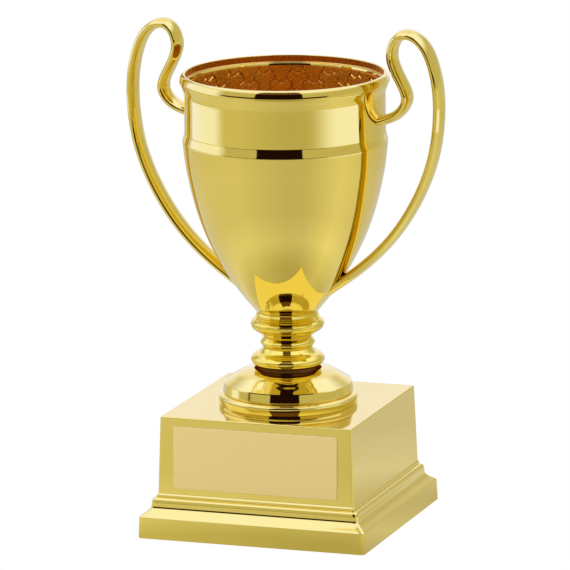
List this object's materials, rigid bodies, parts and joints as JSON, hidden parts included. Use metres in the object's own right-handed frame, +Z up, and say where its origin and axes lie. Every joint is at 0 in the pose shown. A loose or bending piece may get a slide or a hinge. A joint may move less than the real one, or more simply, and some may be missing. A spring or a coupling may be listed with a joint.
{
  "type": "two-handled cup trophy",
  "caption": "Gold two-handled presentation cup on a turned stem and foot, standing on a square moulded plinth with a blank nameplate.",
  "frame": {"origin": "centre of the plinth's underside, where it stands on a surface", "axes": "+Z up along the cup's axis, the nameplate faces -Y, the handles lie along -X (left) and +X (right)"},
  "size_m": [0.1176, 0.084, 0.1785],
  "materials": {
    "bright_gold": "polished",
    "satin_gold": "satin",
    "zinc_steel": "satin",
    "black_plastic": "matte",
    "ballast_iron": "matte",
    "pad_foam": "matte"
  },
  "bodies": {
    "root": {"cup_bowl": "bright_gold", "handle_left": "bright_gold", "handle_right": "bright_gold", "handle_screw_left_upper": "zinc_steel", "handle_screw_left_lower": "zinc_steel", "handle_screw_right_upper": "zinc_steel", "handle_screw_right_lower": "zinc_steel", "upper_knop": "bright_gold", "middle_knop": "bright_gold", "lower_knop": "bright_gold", "foot": "bright_gold", "tie_rod": "zinc_steel", "cup_washer": "zinc_steel", "cap_nut": "zinc_steel", "plinth_washer": "zinc_steel", "plinth_nut": "zinc_steel", "plinth_cap": "bright_gold", "plinth_skirt": "bright_gold", "nameplate": "satin_gold", "bottom_cover": "black_plastic", "cover_screw_front_left": "zinc_steel", "cover_screw_front_right": "zinc_steel", "cover_screw_rear_left": "zinc_steel", "cover_screw_rear_right": "zinc_steel", "ballast_plate": "ballast_iron", "base_pad": "pad_foam"}
  },
  "joints": []
}
